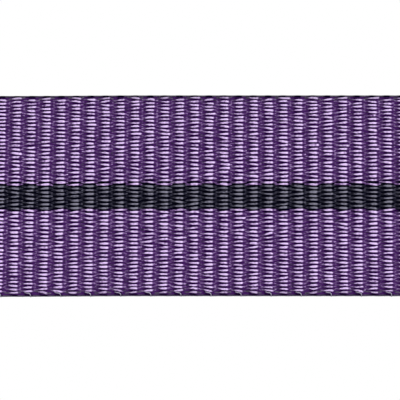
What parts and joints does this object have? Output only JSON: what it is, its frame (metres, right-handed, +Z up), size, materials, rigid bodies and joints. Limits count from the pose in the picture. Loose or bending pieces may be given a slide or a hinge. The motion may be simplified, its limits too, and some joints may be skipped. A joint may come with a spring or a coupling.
{
  "type": "medal",
  "caption": "Brooch-mounted medal: a striped woven ribbon looped between a slotted pin-back bar and a slotted suspender that carries a swivelling round disc.",
  "frame": {"origin": "on the axis of the closed brooch needle, midway along the brooch bar", "axes": "+Z up towards the top of the brooch bar, +X along the needle towards its point, -Y is the front that faces out from the wearer"},
  "size_m": [0.02, 0.0064, 0.0718],
  "materials": {
    "silver_metal": "satin silver, darker in the recesses of the relief",
    "bright_metal": "polished nickel plate",
    "ribbon_weave": "silky ribbed grosgrain weave, purple with one black stripe down the middle",
    "sewing_thread": "twisted polyester sewing thread"
  },
  "bodies": {
    "brooch": {"brooch_bar": "silver_metal", "needle_hinge": "silver_metal", "hinge_rivet": "bright_metal", "catch_barrel": "silver_metal"},
    "needle": {"needle": "bright_metal"},
    "rotor": {"catch_rotor": "bright_metal"},
    "ribbon": {"ribbon": "ribbon_weave", "top_stitching": "sewing_thread", "bottom_stitching": "sewing_thread"},
    "suspender": {"suspender": "silver_metal"},
    "medal": {"swivel_stem": "bright_metal", "swivel_washer": "bright_metal", "claw": "silver_metal", "claw_pin": "bright_metal", "disc": "silver_metal"}
  },
  "joints": [
    {"name": "needle_hinge", "type": "hinge", "parent": "brooch", "child": "needle", "pos_m": [-0.0075, 0, 0], "axis": [0, 0, 1], "range_deg": [0, 75]},
    {"name": "catch_turn", "type": "hinge", "parent": "brooch", "child": "rotor", "pos_m": [0.0066, 0, 0], "axis": [1, 0, 0], "range_deg": [0, 120]},
    {"name": "ribbon_swing", "type": "hinge", "parent": "brooch", "child": "ribbon", "pos_m": [0, -0.0032, -0.0045], "axis": [1, 0, 0], "range_deg": [-85, 85]},
    {"name": "suspender_swing", "type": "hinge", "parent": "ribbon", "child": "suspender", "pos_m": [0, -0.0032, -0.0445], "axis": [1, 0, 0], "range_deg": [-100, 100]},
    {"name": "medal_swivel", "type": "hinge", "parent": "suspender", "child": "medal", "pos_m": [0, -0.0032, -0.0493], "axis": [0, 0, 1], "continuous": true}
  ]
}
